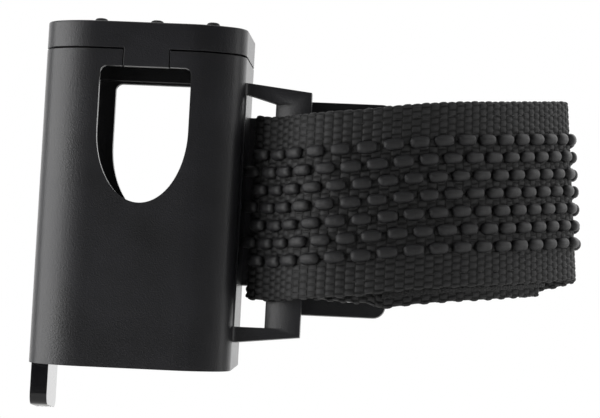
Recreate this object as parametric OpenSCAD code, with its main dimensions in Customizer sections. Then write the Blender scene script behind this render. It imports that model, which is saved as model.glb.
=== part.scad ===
// Strap-on holder for a wireless flash trigger, with a gripper-webbing strap.
// Millimetres. X points away from the sleeve towards the strap loop, Y from front to back, Z up.
// The origin is the centre of the sleeve's flat side, where the holder bears on the stand.

/* [Sleeve] */
// Width of the sleeve across its flat sides
body_w = 56.8; // [54:0.2:60]
// Depth of the sleeve from its front to its back
body_d = 38; // [36:0.5:42]
// Height of the sleeve from its front mouth edge to the seam below the cap
shell_h = 89.4; // [88:0.2:94]
// Thickness of the moulded wall
wall = 2; // [1.6:0.1:2.2]
// Radius of the gentle curve that leads from the flat front into a shoulder
shoulder_r = 24; // [20:1:26]
// Radius of the corner between a shoulder and the flat side
corner_r = 6.5; // [6:0.5:7]
// How much shorter the back wall is than the front wall at the mouth
mouth_slant = 5.6; // [0:0.2:8]

/* [Windows] */
// Width of the D-shaped window
window_w = 25.8; // [20:0.2:28]
// Height of the window's flat top above the mouth edge
window_top = 84.8; // [83:0.2:85]
// Height at which its straight sides end and the arch begins
window_mid = 66.8; // [62:0.2:72]
// Height of the arch's lowest point
window_low = 46.4; // [42:0.2:52]

/* [Cap] */
// Height of the cap above the seam
cap_h = 8; // [6:0.5:10]
// Gap in the seam between the cap and the sleeve
seam_gap = 0.5; // [0.3:0.1:0.8]
// Depth of the cap's spigot inside the sleeve
spigot_h = 4; // [3:0.5:4]
// Width of the cap's tongue above the window
tongue_w = 12.8; // [8:0.2:16]
// Height of a foot on the cap
foot_h = 0.9; // [0.6:0.1:1.6]

/* [Latch] */
// Width of the latch finger, front to back
latch_w = 18; // [12:0.5:18]
// Thickness of the latch's tongue
latch_t = 4.8; // [4:0.2:6]
// How far the tongue reaches below the front mouth edge
latch_drop = 10.4; // [6:0.2:14]
// Height of the latch finger's root above the front mouth edge
latch_root = 29; // [24:1:36]

/* [Lugs] */
// Thickness of the two strap lugs
lug_t = 3; // [2.5:0.5:3]
// How far the near lug stands out from the sleeve's side
near_reach = 18.75; // [15:0.25:20]
// Height of the near lug where it joins the sleeve
near_h = 73; // [70:0.5:76]
// Width of the near lug's strap slot
near_slot_w = 8.15; // [6:0.05:8.4]
// How far the far lug stands out from the sleeve's side
far_reach = 41.25; // [38:0.25:42]
// Height of the far lug
far_h = 61; // [60:0.5:64]
// Width of the far lug's strap slot
far_slot_w = 6.5; // [6:0.1:7]

/* [Strap] */
// Width of the webbing over its knitted edges
strap_w = 52.4; // [45:0.2:52.6]
// Thickness of the webbing
web_t = 1.8; // [1.4:0.1:1.8]
// Thickness of one layer of hook or loop tape
tape_t = 1; // [0.8:0.1:1]
// Width of the hook and loop tapes
tape_w = 47; // [38:1:48]
// Distance between the grip cords across the webbing
cord_pitch = 5; // [4:0.1:5.4]
// Width of a grip cord
cord_w = 3.2; // [2:0.1:3.4]
// Height of a grip cord above the webbing
cord_h = 1.9; // [0.8:0.1:2.1]

/* [Hidden] */
$fn = 48;

body_x = -0.85;           // sleeve's middle, measured from the windows' middle
seat_x = body_w / 2 + body_x;   // its right flat side
seat_z = 46;              // height of the part's origin above the front mouth edge
cap_z = shell_h + seam_gap;
total_h = cap_z + cap_h - seam_gap;
shoulder_turn = 30;       // degrees that the gentle curve turns
cord_rows = 7;
gap = 0.05;               // between layers of the strap that are sewn together
cord_gap = 0.2;           // under a cord, where the webbing is slightly twisted
peel_gap = 0.35;          // between the hook tape and the loop tape

// ---- places ----

// Puts something drawn from below the windows' middle, on the front mouth edge, into the part's
// own frame.
module in_frame() { translate([-seat_x, -body_d / 2, -seat_z]) children(); }

// ---- the sleeve's outline ----

big_x = shoulder_r * sin(shoulder_turn);
big_y = shoulder_r * (1 - cos(shoulder_turn));
corner_x = corner_r * (1 - sin(shoulder_turn));
corner_y = corner_r * cos(shoulder_turn);
shoulder_y = big_y + corner_y;            // depth at which the flat side begins

// Points along an arc, from angle a0 to a1 in n steps.
function arc(centre, r, a0, a1, n) =
    [for (k = [0 : n]) let (a = a0 + (a1 - a0) * k / n) centre + r * [cos(a), sin(a)]];
function backwards(p) = [for (i = [len(p) - 1 : -1 : 0]) p[i]];

// The right front quarter of the outline, from the flat front to the flat side, pulled in by inset.
flat_x = body_w / 2 - big_x - corner_x;
corner_at = [flat_x + (shoulder_r - corner_r) * sin(shoulder_turn), shoulder_y];
function quarter(inset) = concat(
    arc([flat_x, shoulder_r], shoulder_r - inset, -90, -90 + shoulder_turn, 6),
    arc(corner_at, corner_r - inset, -82 + shoulder_turn, 0, 7));

// The whole outline: the quarter and its mirror images.
module outline_2d(inset = 0) {
    q = quarter(inset);
    right = concat(q, backwards([for (p = q) [p[0], body_d - p[1]]]));
    translate([body_x, 0]) polygon(concat(right, backwards([for (p = right) [-p[0], p[1]]])));
}

// The D-shaped window, drawn across X and Z.
module window_2d() {
    r = 2;
    half = window_w / 2;
    arch = window_mid - window_low;
    polygon(concat(
        [for (a = [0 : 6 : 180]) [-half * cos(a), window_mid - arch * sin(a)]],
        arc([half - r, window_top - r], r, 0, 90, 5),
        arc([-half + r, window_top - r], r, 90, 180, 5)));
}

// A profile drawn across X and Z, run from y0 to y1.
module across_y(y0, y1) {
    translate([0, y1, 0]) rotate([90, 0, 0]) linear_extrude(y1 - y0) children();
}

// A profile drawn across Y and Z, run from x0 to x1.
module across_x(x0, x1) {
    translate([x0, 0, 0]) rotate([90, 0, 90]) linear_extrude(x1 - x0) children();
}

// ---- the sleeve ----

near_y = shoulder_y;
far_y = body_d - shoulder_y - lug_t;
near_mid = seat_z;
far_mid = seat_z + 3.8;
left_x = seat_x - body_w;                 // the sleeve's left flat side
near_x = seat_x + near_reach;
far_x = seat_x + far_reach;
slot_x = seat_x + 0.4;
bar_x = slot_x + near_slot_w;
far_slot_x = far_x - 4.4 - far_slot_w;

// Lug with the near strap slot; its outer bar has a ramp that the strap lies on.
module near_lug() {
    taper = 2;
    slot_low = near_mid - near_h / 2 + 4.2;
    slot_high = near_mid + near_h / 2 - 5.4;
    difference() {
        across_y(near_y, near_y + lug_t) polygon([
            [seat_x - 1.5, near_mid - near_h / 2], [seat_x + 1, near_mid - near_h / 2],
            [near_x, near_mid - near_h / 2 + taper], [near_x, near_mid + near_h / 2 - taper],
            [seat_x + 1, near_mid + near_h / 2], [seat_x - 1.5, near_mid + near_h / 2]]);
        across_y(near_y - 1, near_y + lug_t + 1) polygon([
            [slot_x, slot_low], [bar_x, slot_low], [bar_x, slot_high], [slot_x, slot_high + 2.3]]);
        translate([0, 0, slot_low]) linear_extrude(slot_high - slot_low)
            polygon([[bar_x - 1, near_y - 1], [bar_x + 5.2, near_y - 1], [bar_x + 5.2, near_y],
                     [bar_x, near_y + lug_t], [bar_x - 1, near_y + lug_t]]);
    }
}

// Long lug behind it, where the strap's sewn end is anchored. Its neck is lower than its slot.
module far_lug() {
    r = 3.5;
    neck = [27, 75];
    neck_x = seat_x + 12.4;
    difference() {
        across_y(far_y, far_y + lug_t) polygon(concat(
            [[neck_x + 1, far_mid + far_h / 2], [neck_x, neck[1]], [seat_x - 1.5, neck[1]],
             [seat_x - 1.5, neck[0]], [neck_x, neck[0]], [neck_x + 1, far_mid - far_h / 2]],
            arc([far_x - r, far_mid - far_h / 2 + r], r, -90, 0, 6),
            arc([far_x - r, far_mid + far_h / 2 - r], r, 0, 90, 6)));
        translate([far_slot_x, far_y - 1, far_mid - 26.4]) cube([far_slot_w, lug_t + 2, 53.4]);
    }
}

module sleeve_shell() {
    latch_gap = 0.5;
    color([0.16, 0.16, 0.17]) in_frame() difference() {
        union() {
            difference() {
                linear_extrude(shell_h) outline_2d();
                translate([0, 0, -1]) linear_extrude(shell_h + 2) outline_2d(wall);
            }
            near_lug();
            far_lug();
        }
        // slanted mouth
        translate([-body_w, 0, 0]) rotate([atan(mouth_slant / body_d), 0, 0])
            translate([0, -10, -20]) cube([2 * body_w, body_d + 20, 20]);
        // windows in the front and the back
        across_y(-1, body_d + 1) window_2d();
        // notch for the cap's tongue
        translate([-tongue_w / 2 - 0.3, -1, window_top - 1])
            cube([tongue_w + 0.6, wall + 1.5, shell_h - window_top + 2]);
        // slot round the latch finger
        translate([left_x - 1, (body_d - latch_w) / 2 - latch_gap, -1])
            cube([wall + 2, latch_w + 2 * latch_gap, latch_root + 3.5]);
    }
}

// ---- the cap ----

module end_cap() {
    edge = 0.5;
    steps = 3;
    fit = 0.25;
    color([0.17, 0.17, 0.18]) in_frame() difference() {
        union() {
            translate([0, 0, cap_z]) for (i = [0 : steps]) {
                turn = i * 90 / (steps + 0.5);
                linear_extrude(total_h - cap_z - edge * (1 - sin(turn)))
                    outline_2d(edge * (1 - cos(turn)));
            }
            translate([0, 0, shell_h - spigot_h]) linear_extrude(spigot_h + 1)
                outline_2d(wall + fit);
            translate([-tongue_w / 2, 0, window_top])
                cube([tongue_w, wall + 0.5, cap_z - window_top + 1]);
        }
        translate([0, 0, window_top - 1]) linear_extrude(total_h - wall - window_top + 1)
            outline_2d(2 * wall);
    }
}

// Low round feet along the cap's front and back edges.
module cap_feet() {
    color([0.07, 0.07, 0.07]) in_frame()
        for (x = [-13.6, 2.2, 18]) for (y = [3.2, body_d - 3.2])
            translate([x, y, total_h]) cylinder(h = foot_h, r1 = 1.9, r2 = 1.3);
}

// ---- the latch ----

// Springy finger in the sleeve's left wall; its tongue keeps the trigger from sliding out.
module retaining_latch() {
    r = 3;
    half = latch_w / 2;
    left = left_x + 0.5;
    color([0.12, 0.12, 0.13]) in_frame() translate([0, body_d / 2, 0]) {
        low = concat(arc([-half + r, -latch_drop + r], r, 180, 270, 6),
                     arc([half - r, -latch_drop + r], r, 270, 360, 6));
        across_x(left, left + wall - 0.3) polygon(concat(low,
            [[half, latch_root], [half - 2, latch_root + 2], [2 - half, latch_root + 2],
             [-half, latch_root]]));
        across_x(left, left + latch_t) polygon(concat(low, [[half, 2], [-half, 2]]));
    }
}

// ---- the strap's route ----

// Outer face of the strap, [x, y, height of its middle], measured as the sleeve is: from the fold
// round the near bar, out to the loop's end, back to the far slot and round its bar.
strap_route = [
    [42.5, 17, 48.4], [37.5, 18.4, 48.4], [33, 18.2, 48.4], [30.2, 16.2, 48.3],
    [30.4, 13.4, 48], [33, 11, 47.6], [36.2, 8.6, 47.3], [39, 5.2, 47.1], [42.6, 0.8, 47.1],
    [47.6, -3, 47.3], [54, -5.4, 47.8], [62, -6.2, 48.5], [70, -6, 49.8], [80, -3.4, 51.4],
    [91, 3, 53.2],
    [100.4, 11.8, 54.8], [107.8, 21.4, 56.5], [113.1, 29.8, 57.9], [115.4, 34, 58.6],
    [118.9, 41, 59.7], [120.2, 46.6, 60.1], [118.9, 54, 59.9], [112.6, 64, 58.9],
    [102, 72.5, 57.5], [90, 76.5, 56], [79, 73.4, 54.4], [71.2, 62.8, 52.6],
    [65.8, 50.6, 51.2], [62.4, 40, 50.3], [60.8, 32, 50], [60.4, 26.6, 50], [62.4, 23.8, 50],
    [67, 23.2, 50], [71, 25, 50], [71.4, 29, 50], [69, 34, 50], [68, 40, 50.3],
    [68.4, 47, 50.8], [70.6, 54, 51.4]];
lean_max = 0.088;                          // the loop is slightly conical: its top leans inwards
lean_from = 70;
lean_to = 120;

// Hook-tape face of the tail, before it joins the loop.
tail_start = [[42.9, 14.1, 49], [47.5, 12.4, 48.8], [52, 8.4, 48.2], [56.4, 4, 47.6],
              [61, 0, 47.1], [65.4, -2.2, 46.9]];
tail_from = 12;                            // the tail lies against the route from this point
tail_to = 18;                              // to this one, where it ends
tail_sag = 4;                              // it sits this much lower than the outer layer

function unit(v) = v / norm(v);
function left_of(v) = [-v[1], v[0]];
function flat(p) = [p[0], p[1]];
function tangent(p, i) = unit(flat(p[min(i + 1, len(p) - 1)]) - flat(p[max(i - 1, 0)]));
// A route moved inwards by d and down by drop.
function inward(p, i, d, drop = 0) =
    let (n = left_of(tangent(p, i))) [p[i][0] + d * n[0], p[i][1] + d * n[1], p[i][2] - drop];
// How far inwards the cloth leans for each millimetre of height.
function lean(x) = lean_max * min(max((x - lean_from) / (lean_to - lean_from), 0), 1);
// A point of the cloth: d inwards of the route and height h above its middle.
function on_cloth(p, i, d, h) = inward(p, i, d + lean(p[i][0]) * h) + [0, 0, h];
function at(p, i) = i < 0 ? 2 * p[0] - p[1] : i >= len(p) ? 2 * p[len(p) - 1] - p[len(p) - 2] : p[i];
function curve_point(p, i, t) =
    0.5 * (2 * at(p, i) + (at(p, i + 1) - at(p, i - 1)) * t
    + (2 * at(p, i - 1) - 5 * at(p, i) + 4 * at(p, i + 1) - at(p, i + 2)) * t * t
    + (3 * at(p, i) - at(p, i - 1) - 3 * at(p, i + 1) + at(p, i + 2)) * t * t * t);
// The smooth curve through the points from index a to index b, with n steps between points.
function smooth(p, a, b, n) =
    [for (i = [a : b - 1]) for (k = [0 : n - 1]) curve_point(p, i, k / n), curve_point(p, b, 0)];

layer_4 = web_t + gap + tape_t + peel_gap;
tail_route = concat(tail_start,
    [for (i = [tail_from : tail_to]) inward(strap_route, i, layer_4, tail_sag)]);
tail_last = len(tail_route) - 1;

// ---- the strap's solids ----

// Closed solid swept along a route; section holds [inward, up] pairs, anticlockwise.
module sweep(route, section) {
    n = len(section);
    m = len(route);
    points = [for (i = [0 : m - 1]) for (q = section) on_cloth(route, i, q[0], q[1])];
    sides = [for (i = [0 : m - 2]) for (k = [0 : n - 1]) each [
             [i * n + k, i * n + (k + 1) % n, (i + 1) * n + (k + 1) % n],
             [i * n + k, (i + 1) * n + (k + 1) % n, (i + 1) * n + k]]];
    polyhedron(points, concat([[for (k = [n - 1 : -1 : 0]) k]], sides,
                              [[for (k = [0 : n - 1]) (m - 1) * n + k]]), convexity = 10);
}

// Flat band of the given width between two depths below the route.
module band(route, near, far, width) {
    sweep(route, [[near, -width / 2], [near, width / 2], [far, width / 2], [far, -width / 2]]);
}

// Rounded cord on the face of a route; out is -1 for the outer face and 1 for the inner one.
module cord(route, from, out, height) {
    h = cord_w / 2;
    a = from + out * cord_gap;
    b = from + out * (cord_gap + cord_h * 0.6);
    c = from + out * (cord_gap + cord_h);
    half = [[a, -h], [b, -h], [c, -h / 2], [c, h / 2], [b, h], [a, h]];
    section = [for (q = half) q + [0, height]];
    sweep(route, out > 0 ? [for (i = [5 : -1 : 0]) section[i]] : section);
}

cord_from = 4;
cord_to = 28;
module grip_cord(row) {
    height = ((cord_rows + 1) / 2 - row) * cord_pitch;
    color([0.2, 0.2, 0.21]) in_frame()
        cord(smooth(strap_route, cord_from, cord_to, 2), 0, -1, height);
}

module strap_webbing() {
    color([0.1, 0.1, 0.1]) in_frame()
        band(smooth(strap_route, 0, len(strap_route) - 1, 2), 0, web_t, strap_w);
}

tape_first = 11;                           // the loop tape runs between these points
tape_last = 20;
module loop_tape() {
    a = web_t + gap;
    color([0.14, 0.14, 0.14]) in_frame()
        band(smooth(strap_route, tape_first, tape_last, 2), a, a + tape_t, tape_w);
}

// Row of stitches, each a small bar along the route's direction.
module stitch_row(route, from, height, step = 1) {
    along = 2.2;
    for (i = [1 : step : len(route) - 2]) {
        t = tangent(route, i);
        translate(on_cloth(route, i, from, height)) rotate([0, 0, atan2(t[1], t[0])])
            translate([-along / 2, -0.2, -0.3]) cube([along, 0.4, 0.6]);
    }
}

// Two rows of lock stitches that hold the loop tape, on the outer face of the webbing.
module loop_tape_stitching() {
    color([0.05, 0.05, 0.05]) in_frame() for (s = [-1, 1])
        stitch_row(smooth(strap_route, tape_first, tape_last, 4), -0.25, s * (tape_w / 2 - 1.5), 2);
}

// Rows of stitches across the strap's doubled end behind the far lug.
module anchor_stitching() {
    route = smooth(strap_route, len(strap_route) - 3, len(strap_route) - 1, 4);
    color([0.05, 0.05, 0.05]) in_frame() for (h = [-22 : 4 : 22]) for (i = [2, 6]) {
        t = tangent(route, i);
        translate(on_cloth(route, i, -0.25, h)) rotate([0, 0, atan2(t[1], t[0])])
            translate([-0.3, -0.2, -1.3]) cube([0.6, 0.4, 2.6]);
    }
}

// The tail's webbing ends one step before its hook tape.
tail_line = smooth(tail_route, 0, tail_last, 2);
tail_web = [for (i = [0 : len(tail_line) - 2]) tail_line[i]];
tape_from = 12;
module strap_tail() {
    a = tape_t + gap;
    color([0.1, 0.1, 0.1]) in_frame() band(tail_web, a, a + web_t, strap_w);
}

module tail_hook_tape() {
    color([0.12, 0.12, 0.12]) in_frame()
        band([for (i = [tape_from : len(tail_line) - 1]) tail_line[i]], 0, tape_t, tape_w);
}

module tail_grip_cords() {
    face = tape_t + gap + web_t;
    color([0.2, 0.2, 0.21]) in_frame() for (row = [1 : cord_rows])
        cord([for (i = [2 : len(tail_web) - 4]) tail_web[i]], face, 1,
             ((cord_rows + 1) / 2 - row) * cord_pitch);
}

module tail_stitching() {
    color([0.05, 0.05, 0.05]) in_frame() for (s = [-1, 1])
        stitch_row([for (i = [tape_from : len(tail_web) - 3]) tail_web[i]],
                   tape_t + gap + web_t + 0.4, s * (tape_w / 2 - 1.5));
}

// Folded binding that closes the tail's cut end.
module tail_end_binding() {
    end = len(tail_web) - 1;
    a = tape_t + 2 * gap + web_t;
    color([0.08, 0.08, 0.08]) in_frame()
        band([for (i = [end - 2 : end]) tail_web[i]], a, a + 0.8, strap_w);
}

sleeve_shell();
end_cap();
cap_feet();
retaining_latch();
strap_webbing();
grip_cord(1);  // grip_cord_1
grip_cord(2);  // grip_cord_2
grip_cord(3);  // grip_cord_3
grip_cord(4);  // grip_cord_4
grip_cord(5);  // grip_cord_5
grip_cord(6);  // grip_cord_6
grip_cord(7);  // grip_cord_7
loop_tape();
loop_tape_stitching();
anchor_stitching();
strap_tail();
tail_hook_tape();
tail_grip_cords();
tail_stitching();
tail_end_binding();
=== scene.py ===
# %% [markdown]
# # A strap-on holder for a wireless trigger
# The holder is a moulded sleeve with a push-fit cap and a springy latch, and a strap of gripper
# webbing that clamps it to a light stand. The design comes in as a fixed frame: each CAD node
# already lies where it belongs, and everything made here is placed by the node that it dresses.

import math

import bmesh
import bpy
import numpy as np
from mathutils import Matrix, Vector


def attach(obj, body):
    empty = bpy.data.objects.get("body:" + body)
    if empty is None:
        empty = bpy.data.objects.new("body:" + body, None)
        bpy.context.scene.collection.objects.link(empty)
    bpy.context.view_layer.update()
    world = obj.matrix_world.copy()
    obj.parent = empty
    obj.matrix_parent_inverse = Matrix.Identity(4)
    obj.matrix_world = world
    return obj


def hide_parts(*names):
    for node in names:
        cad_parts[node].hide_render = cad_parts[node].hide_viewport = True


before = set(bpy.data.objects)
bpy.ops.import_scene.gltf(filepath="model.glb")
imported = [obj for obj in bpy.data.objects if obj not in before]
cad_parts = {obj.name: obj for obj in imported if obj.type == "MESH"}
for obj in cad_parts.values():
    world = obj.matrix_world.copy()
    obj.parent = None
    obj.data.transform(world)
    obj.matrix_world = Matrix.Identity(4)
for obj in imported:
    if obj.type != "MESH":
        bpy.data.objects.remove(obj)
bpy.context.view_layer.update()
MM = 0.001

# %% [markdown]
# ## Camera
# A product shot of something this small is taken from about a metre with a long lens, which keeps
# the sides nearly parallel. The camera sits a little below the holder and looks up at it, and it
# is rolled a few degrees, so the sleeve leans. A turn is built up from yaw, pitch and roll, because
# each can then be adjusted alone.

# %% Place the camera
YAW, PITCH, ROLL = math.radians(4.66), math.radians(6.28), math.radians(-3.0)
camera_data = bpy.data.cameras.new("camera")
camera_data.lens = 215.4
camera_data.sensor_width = 36
camera_data.clip_start, camera_data.clip_end = 0.05, 20
camera = bpy.data.objects.new("camera", camera_data)
bpy.context.scene.collection.objects.link(camera)
turned = (Matrix.Rotation(YAW, 4, "Z") @ Matrix.Rotation(PITCH, 4, "X")
          @ Matrix.Rotation(ROLL, 4, "Y"))
upright = Matrix.Rotation(math.pi / 2, 4, "X")       # looks along +Y with +Z up
camera.matrix_world = Matrix.Translation((0.0983, -1.0067, -0.1085)) @ turned @ upright
bpy.context.scene.camera = camera
bpy.context.scene.view_settings.view_transform = "Standard"
print("camera at", [round(v, 3) for v in camera.matrix_world.translation])

# %% [markdown]
# ## Small helpers
# Colours are written as the sRGB hex values that a paint chart gives, and one function turns them
# to the linear values that the shader wants. Another adds a node to a tree, sets it up and wires
# it, so that a material or a Geometry Nodes tree reads as a short list of steps.


# %% Colour, node and mesh helpers
def linear(hex_colour):
    """The linear RGBA of an sRGB hex colour."""
    channels = [int(hex_colour[i:i + 2], 16) / 255 for i in (1, 3, 5)]
    return [c / 12.92 if c < 0.04045 else ((c + 0.055) / 1.055) ** 2.4 for c in channels] + [1.0]


def add(tree, kind, inputs=None, **settings):
    """Adds a node. settings are its properties; inputs maps a socket to a value or an output."""
    node = tree.nodes.new(kind)
    for name, value in settings.items():
        setattr(node, name, value)
    for name, value in (inputs or {}).items():
        if isinstance(value, bpy.types.NodeSocket):
            tree.links.new(value, node.inputs[name])
        else:
            node.inputs[name].default_value = value
    return node


def make_piece(name, points, faces, smooth=True):
    """A mesh object whose place is in its mesh."""
    mesh = bpy.data.meshes.new(name)
    mesh.from_pydata([tuple(p) for p in points], [], [tuple(f) for f in faces])
    mesh.update()
    piece = bpy.data.objects.new(name, mesh)
    bpy.context.scene.collection.objects.link(piece)
    mesh.polygons.foreach_set("use_smooth", [smooth] * len(mesh.polygons))
    return piece


def bake(piece):
    """Applies a piece's live modifiers: its mesh becomes what they make, and they are removed."""
    seen = piece.evaluated_get(bpy.context.evaluated_depsgraph_get())
    mesh = bpy.data.meshes.new_from_object(seen)
    piece.modifiers.clear()
    piece.data = mesh
    mesh.name = piece.name
    return piece


def triangles(piece):
    piece.data.calc_loop_triangles()
    return len(piece.data.loop_triangles)


# %% [markdown]
# ## Light, floor and background
# Black plastic shows its shape by what it mirrors. So the studio is a white wall behind the
# holder, which lights its outline, a tall soft box on the left, which draws the band along the
# left shoulder, a weaker one on the right, and hardly any light from the front. The wall and the
# dark front are one world shader that reads the direction. Straight to the camera it is white.

# %% Build the studio
def build_world():
    world = bpy.data.worlds.new("studio")
    bpy.context.scene.world = world
    world.use_nodes = True
    tree = world.node_tree
    tree.nodes.clear()
    direction = add(tree, "ShaderNodeTexCoord")
    axes = add(tree, "ShaderNodeSeparateXYZ", {0: direction.outputs["Generated"]})
    wall = add(tree, "ShaderNodeMapRange",
               {"Value": axes.outputs["Y"], "From Min": 0.0, "From Max": 0.55,
                "To Min": 0.03, "To Max": 1.7}, interpolation_type="SMOOTHSTEP")
    room = add(tree, "ShaderNodeBackground", {"Color": (1, 1, 1, 1), "Strength": wall.outputs[0]})
    white = add(tree, "ShaderNodeBackground", {"Color": (1, 1, 1, 1), "Strength": 1.0})
    path = add(tree, "ShaderNodeLightPath")
    mix = add(tree, "ShaderNodeMixShader", {0: path.outputs["Is Camera Ray"],
                                            1: room.outputs[0], 2: white.outputs[0]})
    add(tree, "ShaderNodeOutputWorld", {0: mix.outputs[0]})


def soft_box(name, place, width, height, radiance):
    """An area light that faces the holder. Its power follows from how bright its face is."""
    light = bpy.data.lights.new(name, "AREA")
    light.shape, light.size, light.size_y = "RECTANGLE", width, height
    light.energy = radiance * math.pi * width * height
    lamp = bpy.data.objects.new(name, light)
    bpy.context.scene.collection.objects.link(lamp)
    lamp.location = place
    aim = Vector((0.0, 0.02, 0.0)) - lamp.location
    lamp.rotation_euler = aim.to_track_quat("-Z", "Y").to_euler()


build_world()
soft_box("left_box", (-0.84, -0.38, 0.06), 0.75, 1.0, 4.8)
soft_box("right_box", (0.88, -0.26, 0.10), 0.5, 0.9, 1.7)
soft_box("top_box", (0.10, -0.20, 0.80), 0.7, 0.5, 0.9)

FLOOR_Z = -0.17
bpy.ops.mesh.primitive_plane_add(size=8, location=(0, 0, FLOOR_Z))
floor = bpy.context.object
floor.name = "floor"
paper = bpy.data.materials.new("pale_paper_roll")
paper.use_nodes = True
paper.node_tree.nodes["Principled BSDF"].inputs["Base Color"].default_value = linear("#E6E6E4")
paper.node_tree.nodes["Principled BSDF"].inputs["Roughness"].default_value = 0.8
floor.data.materials.append(paper)

# %% [markdown]
# ## Moulded plastics
# The sleeve and the cap are ABS, moulded in a tool whose walls were spark eroded. That leaves a
# fine even grit, about a third of a millimetre from bump to bump, which scatters the highlight
# into a soft sheen with tiny sparkles. The latch comes from a smoother tool, and the feet are
# rubber. All share one recipe: a fine grit, a slow mottling, and sharp edges painted paler as a
# highlight.


# %% Plastic and rubber materials
def new_surface(name):
    """A material with only its output and Principled shader."""
    material = bpy.data.materials.new(name)
    material.use_nodes = True
    return material, material.node_tree, material.node_tree.nodes["Principled BSDF"]


def moulded(name, dark, pale, roughness, grit, grit_size_mm, ior=1.50):
    """A moulded polymer: spark-eroded grit in the bump, slow mottling in colour and gloss."""
    material, tree, shader = new_surface(name)
    place = add(tree, "ShaderNodeTexCoord").outputs["Object"]
    fine = add(tree, "ShaderNodeTexNoise", {"Vector": place, "Scale": 1 / (grit_size_mm * MM),
                                            "Detail": 2.0, "Roughness": 0.6})
    pits = add(tree, "ShaderNodeTexVoronoi",
               {"Vector": place, "Scale": 0.8 / (grit_size_mm * MM)}, feature="SMOOTH_F1")
    slow = add(tree, "ShaderNodeTexNoise", {"Vector": place, "Scale": 70.0, "Detail": 3.0})
    speckle = add(tree, "ShaderNodeMix", {"Factor": 0.35, "A": slow.outputs[0],
                                          "B": fine.outputs[0]}, data_type="FLOAT")
    tint = add(tree, "ShaderNodeValToRGB", {0: speckle.outputs["Result"]})
    tint.color_ramp.elements[0].color = linear(dark)
    tint.color_ramp.elements[0].position = 0.3
    tint.color_ramp.elements[1].color = linear(pale)
    tint.color_ramp.elements[1].position = 0.72
    # Painted highlight: sharp convex edges get a paler base colour, standing in for the light that
    # edges catch.
    edge_pointiness = add(tree, "ShaderNodeNewGeometry").outputs["Pointiness"]
    painted_edge_highlight = add(tree, "ShaderNodeMapRange", {"Value": edge_pointiness, "From Min": 0.53, "From Max": 0.62,
                                            "To Min": 0.0, "To Max": 0.5})
    colour = add(tree, "ShaderNodeMix", {"Factor": painted_edge_highlight.outputs[0], "A": tint.outputs[0],
                                         "B": linear(pale)}, data_type="RGBA")
    gloss = add(tree, "ShaderNodeMapRange", {"Value": slow.outputs[0], "To Min": roughness - 0.04,
                                             "To Max": roughness + 0.05})
    relief = add(tree, "ShaderNodeMath", {0: fine.outputs[0], 1: pits.outputs["Distance"]},
                 operation="ADD")
    bump = add(tree, "ShaderNodeBump", {"Height": relief.outputs[0], "Strength": grit,
                                        "Distance": 0.05 * MM})
    shader.inputs["IOR"].default_value = ior
    tree.links.new(colour.outputs["Result"], shader.inputs["Base Color"])
    tree.links.new(gloss.outputs[0], shader.inputs["Roughness"])
    tree.links.new(bump.outputs[0], shader.inputs["Normal"])
    return material


# ABS from a spark-eroded tool: deep grey-black with a soft, broad sheen.
sleeve_plastic = moulded("spark_eroded_black_abs", "#161618", "#202024", 0.36, 0.8, 0.3)
# Acetal, moulded smooth: blacker and with a tighter highlight.
latch_plastic = moulded("satin_black_acetal", "#101011", "#17171A", 0.12, 0.04, 0.25, ior=1.48)
# Thermoplastic rubber: nearly no highlight.
foot_rubber = moulded("matt_black_rubber", "#101010", "#1A1A1A", 0.75, 0.6, 0.3, ior=1.52)
print("plastics:", sleeve_plastic.name, latch_plastic.name, foot_rubber.name)

# %% [markdown]
# ## The sleeve
# The sleeve is a tube whose front and back are flat in the middle and curve gently into rounded
# shoulders. Drawing the outline once as arcs and extruding it gives exactly that, with smooth
# shading and no patchwork. The windows, the mouth's slant, the latch's slot and the strap slots
# are then cut with booleans, as the mould's cores would form them, and a small bevel breaks every
# sharp edge, because no moulded edge is a razor. The sizes repeat those of the design.

# %% Sleeve sizes and the outline
BODY_W, BODY_D, SHELL_H, WALL = 56.8, 38.0, 89.4, 2.0
BODY_X = -0.85                                       # the sleeve's middle, from the windows'
SHOULDER_R, SHOULDER_TURN, CORNER_R = 24.0, math.radians(30), 6.5
MOUTH_SLANT, SEAT_Z = 5.6, 46.0
SEAT_X = BODY_X + BODY_W / 2                         # its right flat side
LEFT_X = SEAT_X - BODY_W
ORIGIN = np.array([SEAT_X, BODY_D / 2, SEAT_Z])      # the part's origin
SHOULDER_Y = SHOULDER_R * (1 - math.cos(SHOULDER_TURN)) + CORNER_R * math.cos(SHOULDER_TURN)
FLAT_X = (BODY_W / 2 - SHOULDER_R * math.sin(SHOULDER_TURN)
          - CORNER_R * (1 - math.sin(SHOULDER_TURN)))
WINDOW_W, WINDOW_TOP, WINDOW_MID, WINDOW_LOW = 25.8, 84.8, 66.8, 46.4
CAP_Z, TOTAL_H = 89.9, 97.4
TONGUE_W = 12.8


def in_frame(points):
    """Points in mm from below the windows' middle on the front mouth edge, in the part's frame."""
    return (np.asarray(points, float) - ORIGIN) * MM


def arc(centre, radius, start, end, steps):
    """Points along an arc, angles in radians."""
    turn = np.linspace(start, end, steps + 1)
    return np.stack([centre[0] + radius * np.cos(turn), centre[1] + radius * np.sin(turn)], 1)


def outline(inset=0.0, shoulder_steps=14, corner_steps=12):
    """The sleeve's outline, anticlockwise, pulled in by inset."""
    corner_at = (FLAT_X + (SHOULDER_R - CORNER_R) * math.sin(SHOULDER_TURN), SHOULDER_Y)
    right_angle = math.pi / 2
    quarter = np.vstack([
        arc((FLAT_X, SHOULDER_R), SHOULDER_R - inset, -right_angle, -right_angle + SHOULDER_TURN,
            shoulder_steps),
        arc(corner_at, CORNER_R - inset, -right_angle + SHOULDER_TURN, 0, corner_steps)[1:]])
    right = np.vstack([quarter, (quarter * [1, -1] + [0, BODY_D])[::-1]])
    return np.vstack([right, (right * [-1, 1])[::-1]]) + [BODY_X, 0]


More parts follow.
